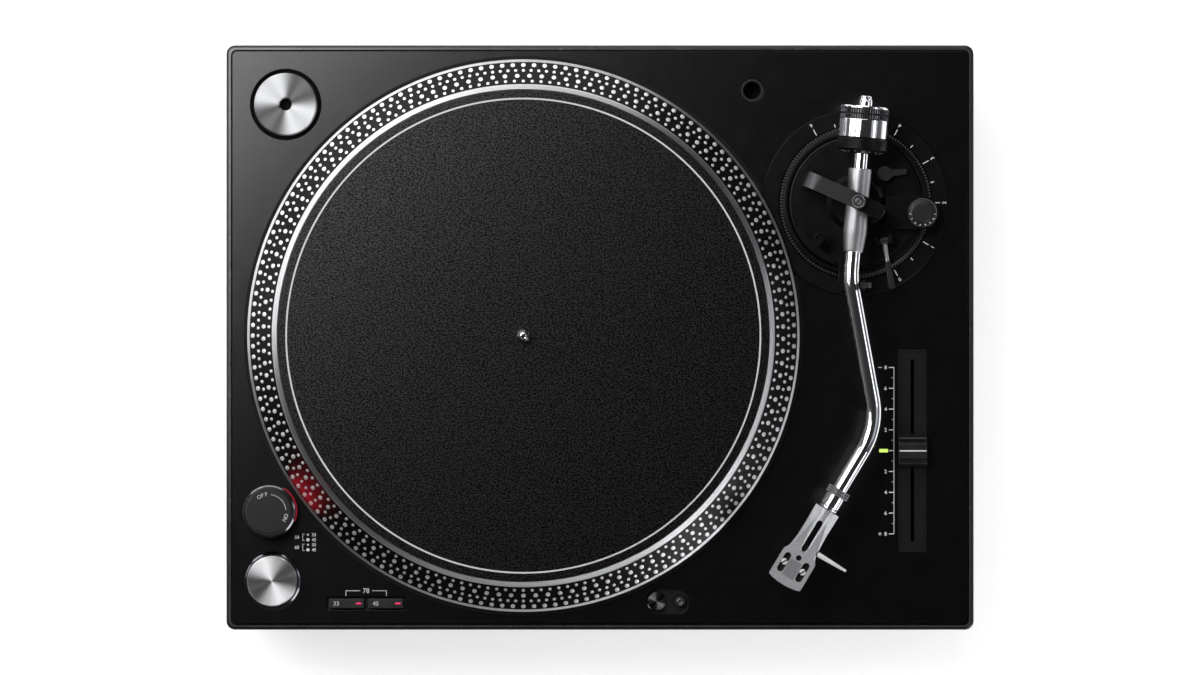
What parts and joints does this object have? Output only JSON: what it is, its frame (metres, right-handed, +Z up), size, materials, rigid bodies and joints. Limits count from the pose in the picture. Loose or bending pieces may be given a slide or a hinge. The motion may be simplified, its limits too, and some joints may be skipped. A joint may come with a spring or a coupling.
{
  "type": "direct drive turntable",
  "caption": "Direct-drive record turntable with strobe-dotted platter, slipmat, S-shaped tonearm on a height-adjustable base, tempo fader, start button, power dial and disc adapter.",
  "frame": {"origin": "centre of the case at the level of the surface that it stands on", "axes": "+X to the tonearm side, +Y to the back with the sockets, +Z up; the start button is at the front left"},
  "size_m": [0.45, 0.352, 0.142],
  "materials": {
    "case_paint": "semi-gloss black enamel on die-cast aluminium",
    "deck_paint": "semi-gloss black enamel on flat aluminium plate",
    "rubber": "matt black",
    "dark_metal": "satin dark grey",
    "black_metal": "satin black anodised",
    "dark_chrome": "turned dark chrome",
    "turned_aluminium": "turned in fine circles, clear anodised",
    "satin_metal": "satin grey",
    "chrome": "polished",
    "steel": "zinc plated",
    "slipmat_felt": "woven dark grey with a printed light ring",
    "magnet": "sintered",
    "copper_winding": "enamelled wire on a board",
    "circuit_board": "green solder mask",
    "black_plastic": "moulded",
    "red_lens": "clear red, lit from inside",
    "green_lens": "clear green, lit from inside",
    "white_print": "screen printed white ink"
  },
  "bodies": {
    "case": {"upper_casting": "case_paint", "deck_plate": "deck_paint", "lower_case": "rubber", "bottom_cover": "dark_metal", "foot_front_left": "rubber", "foot_front_right": "rubber", "foot_rear_left": "rubber", "foot_rear_right": "rubber", "bearing_housing": "steel", "motor_stator": "copper_winding", "strobe_tower": "black_plastic", "strobe_lens": "red_lens", "strobe_lamp": "circuit_board", "power_cap": "black_metal", "start_surround": "black_metal", "speed_switch_well": "black_plastic", "fader_panel": "black_plastic", "fader_body": "steel", "headshell_socket": "rubber", "audio_sockets": "black_plastic", "ground_post": "steel", "mains_inlet": "black_plastic", "control_board": "circuit_board", "power_supply": "circuit_board", "height_sleeve": "dark_metal", "height_scale": "deck_paint"},
    "platter": {"platter": "turned_aluminium", "slipmat": "slipmat_felt", "spindle": "chrome", "rotor_magnet": "magnet"},
    "disc_adapter": {"disc_adapter": "turned_aluminium"},
    "power_dial": {"power_dial": "black_metal"},
    "start_button": {"start_button": "turned_aluminium"},
    "speed_button_33": {"speed_button_33": "black_plastic"},
    "speed_button_45": {"speed_button_45": "black_plastic"},
    "target_light": {"target_light": "dark_chrome"},
    "target_release": {"target_release": "dark_chrome"},
    "fader_knob": {"fader_knob": "black_plastic"},
    "height_ring": {"height_ring": "black_metal"},
    "arm_base": {"arm_base": "dark_metal", "arm_rest": "black_plastic", "antiskate_block": "dark_metal", "lift_cylinder": "dark_metal", "pivot_bridge": "satin_metal"},
    "rest_clip": {"rest_clip": "black_plastic"},
    "antiskate_knob": {"antiskate_knob": "satin_metal"},
    "lock_lever": {"lock_lever": "black_metal"},
    "cue_lever": {"cue_lever": "chrome"},
    "lift_rail": {"lift_rail": "rubber"},
    "yoke": {"arm_yoke": "dark_metal"},
    "arm": {"arm_housing": "satin_metal", "arm_tube": "chrome", "rear_stub": "chrome"},
    "weight_core": {"weight_core": "rubber"},
    "counterweight": {"counterweight": "chrome"},
    "weight_dial": {"weight_dial": "black_metal"},
    "collar": {"collar": "chrome"},
    "headshell": {"headshell": "satin_metal", "cartridge": "black_plastic", "finger_lift": "chrome"}
  },
  "joints": [
    {"name": "platter_spin", "type": "hinge", "parent": "case", "child": "platter", "pos_m": [-0.046, 0.0011, 0.1], "axis": [0, 0, -1], "continuous": true},
    {"name": "adapter_lift_out", "type": "slide", "parent": "case", "child": "disc_adapter", "axis": [0, 0, 1], "range_m": [0, 0.03]},
    {"name": "power_turn", "type": "hinge", "parent": "case", "child": "power_dial", "pos_m": [-0.1984, -0.1043, 0.103], "axis": [0, 0, 1], "range_deg": [0, 100]},
    {"name": "start_press", "type": "slide", "parent": "case", "child": "start_button", "axis": [0, 0, -1], "range_m": [0, 0.002], "stiffness_N_per_m": 500, "springref_m": -0.001},
    {"name": "press_33", "type": "slide", "parent": "case", "child": "speed_button_33", "axis": [0, 0, -1], "range_m": [0, 0.0012], "stiffness_N_per_m": 300, "springref_m": -0.0005},
    {"name": "press_45", "type": "slide", "parent": "case", "child": "speed_button_45", "axis": [0, 0, -1], "range_m": [0, 0.0012], "stiffness_N_per_m": 300, "springref_m": -0.0005},
    {"name": "target_rise", "type": "slide", "parent": "case", "child": "target_light", "axis": [0, 0, 1], "range_m": [0, 0.014]},
    {"name": "target_release_press", "type": "slide", "parent": "case", "child": "target_release", "axis": [0, 0, -1], "range_m": [0, 0.0015], "stiffness_N_per_m": 300, "springref_m": -0.0005},
    {"name": "tempo_slide", "type": "slide", "parent": "case", "child": "fader_knob", "axis": [0, 1, 0], "range_m": [-0.05, 0.05]},
    {"name": "height_rise", "type": "slide", "parent": "case", "child": "arm_base", "axis": [0, 0, 1], "range_m": [0, 0.006]},
    {"name": "height_turn", "type": "hinge", "parent": "case", "child": "height_ring", "pos_m": [0.1537, 0.0811, 0.092], "axis": [0, 0, 1], "range_deg": [0, 180]},
    {"name": "clip_swing", "type": "hinge", "parent": "arm_base", "child": "rest_clip", "pos_m": [0.1572, 0.0311, 0.1282], "axis": [0, 1, 0], "range_deg": [-90, 0]},
    {"name": "antiskate_turn", "type": "hinge", "parent": "arm_base", "child": "antiskate_knob", "pos_m": [0.1933, 0.0748, 0.11], "axis": [0, 0, -1], "range_deg": [0, 270]},
    {"name": "lock_turn", "type": "hinge", "parent": "arm_base", "child": "lock_lever", "pos_m": [0.171, 0.0983, 0.1], "axis": [0, 0, 1], "range_deg": [0, 50]},
    {"name": "cue_turn", "type": "hinge", "parent": "arm_base", "child": "cue_lever", "pos_m": [0.1704, 0.0582, 0.105], "axis": [-0.9871, -0.1599, 0], "range_deg": [0, 60]},
    {"name": "lift_rise", "type": "slide", "parent": "arm_base", "child": "lift_rail", "axis": [0, 0, 1], "range_m": [0, 0.0049]},
    {"name": "arm_yaw", "type": "hinge", "parent": "arm_base", "child": "yoke", "pos_m": [0.1537, 0.0811, 0.126], "axis": [0, 0, -1], "range_deg": [0, 43]},
    {"name": "arm_pitch", "type": "hinge", "parent": "yoke", "child": "arm", "pos_m": [0.1537, 0.0811, 0.126], "axis": [-0.8996, 0.4368, 0], "range_deg": [0, 12]},
    {"name": "weight_travel", "type": "slide", "parent": "arm", "child": "weight_core", "axis": [0.0842, 0.9964, 0], "range_m": [-0.004, 0.004]},
    {"name": "weight_turn", "type": "hinge", "parent": "weight_core", "child": "counterweight", "pos_m": [0.1537, 0.0811, 0.126], "axis": [0.0842, 0.9964, 0], "range_deg": [-720, 720]},
    {"name": "force_dial_turn", "type": "hinge", "parent": "counterweight", "child": "weight_dial", "pos_m": [0.1537, 0.0811, 0.126], "axis": [0.0842, 0.9964, 0], "continuous": true},
    {"name": "collar_turn", "type": "hinge", "parent": "arm", "child": "collar", "pos_m": [0.13582, -0.103, 0.126], "axis": [-0.515, -0.8572, 0], "range_deg": [0, 60]},
    {"name": "headshell_pull", "type": "slide", "parent": "arm", "child": "headshell", "axis": [-0.515, -0.8572, 0], "range_m": [0, 0.015]}
  ],
  "couplings": [
    {"joint": "height_turn", "follows": "height_rise", "rad_per_m": 523},
    {"joint": "cue_turn", "follows": "lift_rise", "rad_per_m": 213},
    {"joint": "weight_travel", "follows": "weight_turn", "m_per_rad": 0.000318}
  ]
}
